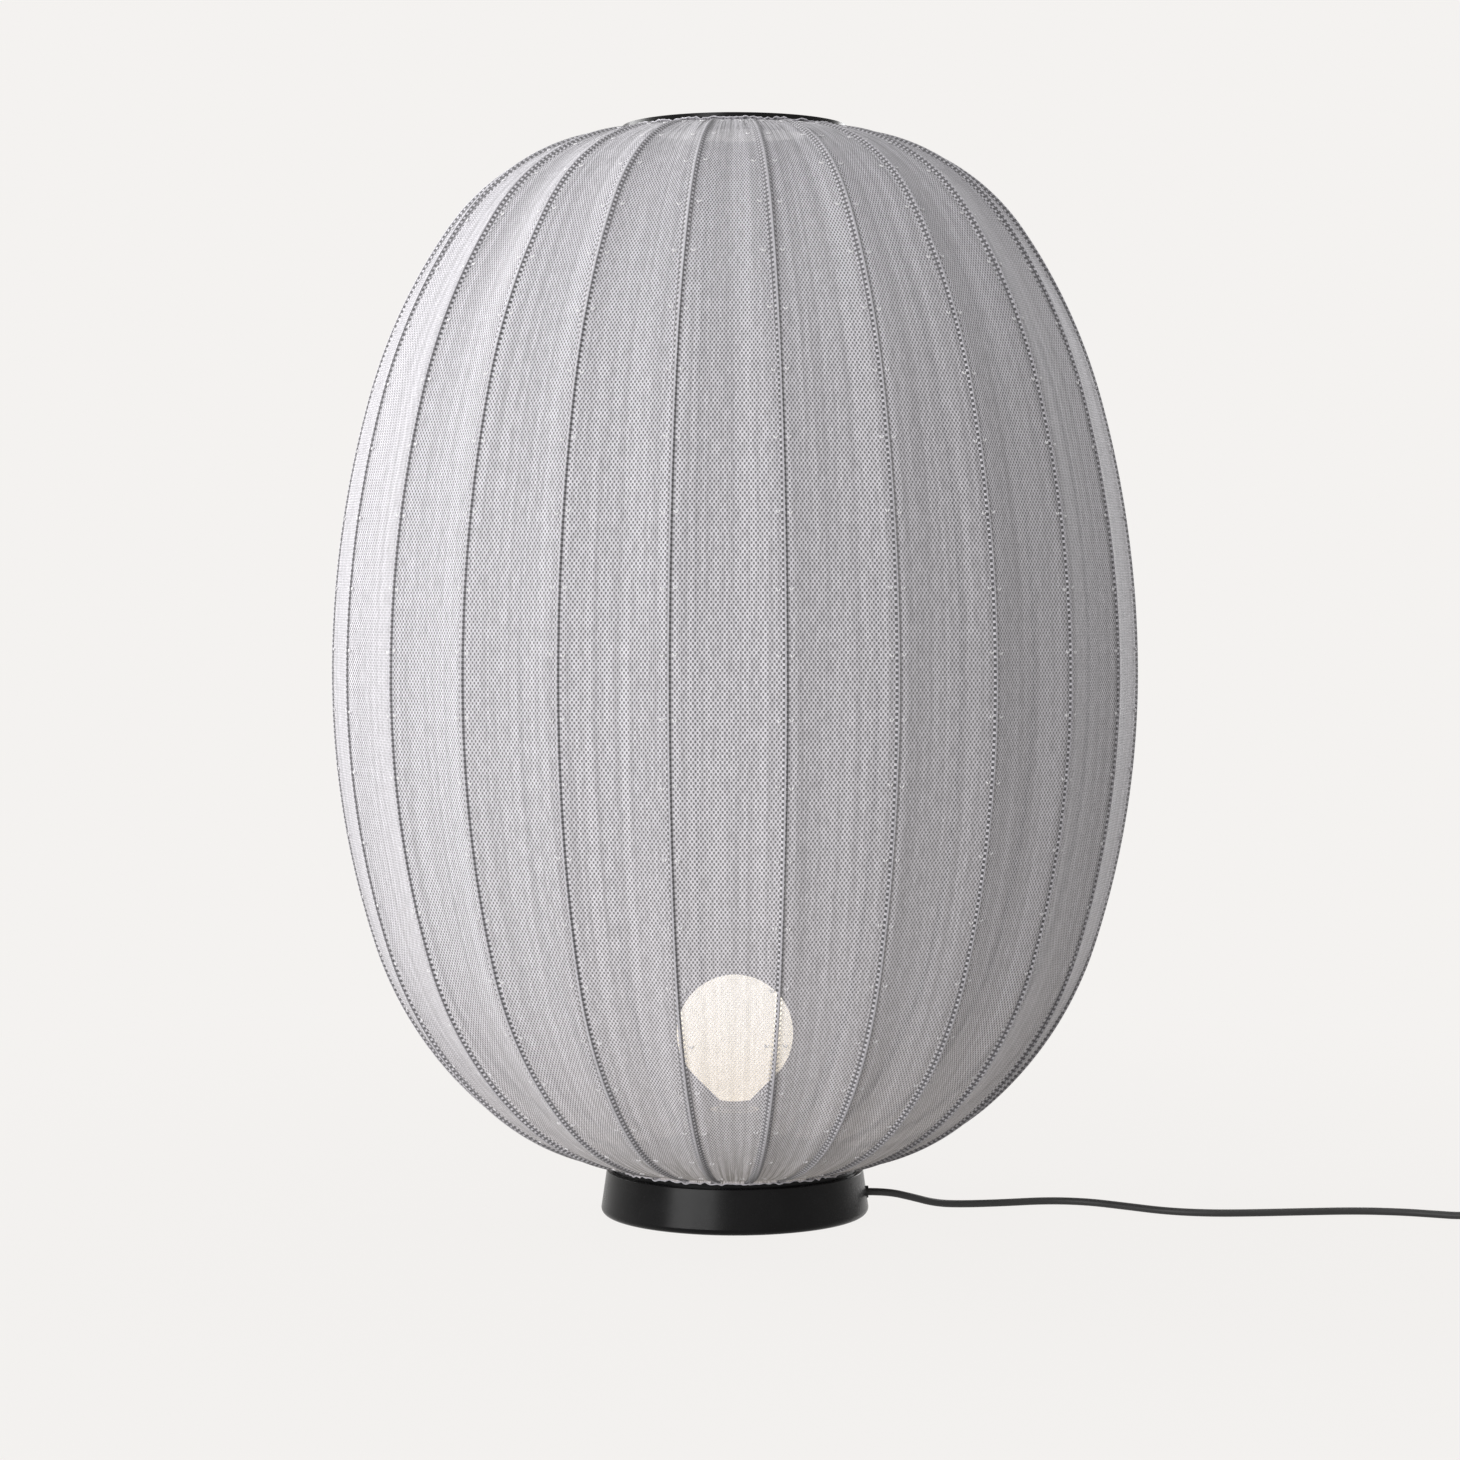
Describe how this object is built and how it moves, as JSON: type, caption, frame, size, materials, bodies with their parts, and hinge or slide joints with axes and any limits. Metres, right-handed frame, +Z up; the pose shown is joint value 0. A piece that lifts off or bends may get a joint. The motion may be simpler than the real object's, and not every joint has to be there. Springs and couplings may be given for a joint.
{
  "type": "knitted floor lamp",
  "caption": "Onion-shaped knitted floor lamp: fine open knit stretched over bent ribs between two black rings, globe bulb low inside, low weighted base, cord with foot switch and plug.",
  "frame": {"origin": "on the floor, under the middle of the round base", "axes": "+Z up along the lamp's axis, -Y towards the pictured front, +X towards the cord"},
  "size_m": [1.0938, 0.6448, 0.8808],
  "materials": {
    "black_satin": "satin powder coat",
    "cast_iron": "rough casting",
    "steel": "zinc plated",
    "rib_steel": "dark grey coated wire",
    "floor_pad": "felt",
    "cord_rubber": "matt",
    "inner_plastic": "moulded",
    "porcelain": "unglazed",
    "holder_plastic": "moulded",
    "cap_metal": "rolled thread",
    "brass": "plain",
    "opal_glass": "opal",
    "knit": "fine open knit in grey melange yarn",
    "switch_plastic": "fine moulded grain",
    "pin_metal": "nickel plated"
  },
  "bodies": {
    "lamp": {"base_housing": "black_satin", "bottom_ring": "black_satin", "top_ring": "black_satin", "base_weight": "cast_iron", "base_plate": "steel", "base_pad": "floor_pad", "base_plate_screws": "steel", "ring_screws": "steel", "cord_clamp_screws": "steel", "switch_screws": "steel", "switch_spring": "steel", "stem_nut": "steel", "threaded_stem": "steel", "cord_grommet": "cord_rubber", "cord_in_base": "cord_rubber", "cord_lamp_to_switch": "cord_rubber", "cord_switch_to_coil": "cord_rubber", "cord_coil": "cord_rubber", "cord_coil_to_plug": "cord_rubber", "cord_clamp": "inner_plastic", "terminal_block": "porcelain", "lead_wires": "inner_plastic", "lampholder_cap": "holder_plastic", "lampholder_skirt": "holder_plastic", "lampholder_insert": "porcelain", "screw_shell": "cap_metal", "centre_contact": "brass", "knit_cover": "knit", "switch_base": "switch_plastic", "switch_cover": "switch_plastic", "plug_body": "switch_plastic", "plug_pins": "pin_metal", "rib_01": "rib_steel", "rib_02": "rib_steel", "rib_03": "rib_steel", "rib_04": "rib_steel", "rib_05": "rib_steel", "rib_06": "rib_steel", "rib_07": "rib_steel", "rib_08": "rib_steel", "rib_09": "rib_steel", "rib_10": "rib_steel", "rib_11": "rib_steel", "rib_12": "rib_steel", "rib_13": "rib_steel", "rib_14": "rib_steel", "rib_15": "rib_steel", "rib_16": "rib_steel", "rib_17": "rib_steel", "rib_18": "rib_steel", "rib_19": "rib_steel", "rib_20": "rib_steel", "rib_21": "rib_steel", "rib_22": "rib_steel", "rib_23": "rib_steel", "rib_24": "rib_steel"},
    "bulb_lift": {"bulb_tip": "brass"},
    "bulb": {"bulb_globe": "opal_glass", "bulb_cap": "cap_metal"},
    "button": {"switch_button": "switch_plastic"}
  },
  "joints": [
    {"name": "bulb_rise", "type": "slide", "parent": "lamp", "child": "bulb_lift", "axis": [0, 0, 1], "range_m": [0, 0.0182]},
    {"name": "bulb_turn", "type": "hinge", "parent": "bulb_lift", "child": "bulb", "pos_m": [0, 0, 0.075], "axis": [0, 0, 1], "range_deg": [0, 1800]},
    {"name": "button_press", "type": "slide", "parent": "lamp", "child": "button", "axis": [0, 0, -1], "range_m": [0, 0.0025], "stiffness_N_per_m": 600, "springref_m": -0.002, "deforming": ["switch_spring"]}
  ],
  "couplings": [
    {"joint": "bulb_rise", "follows": "bulb_turn", "m_per_rad": 0.0005776}
  ]
}
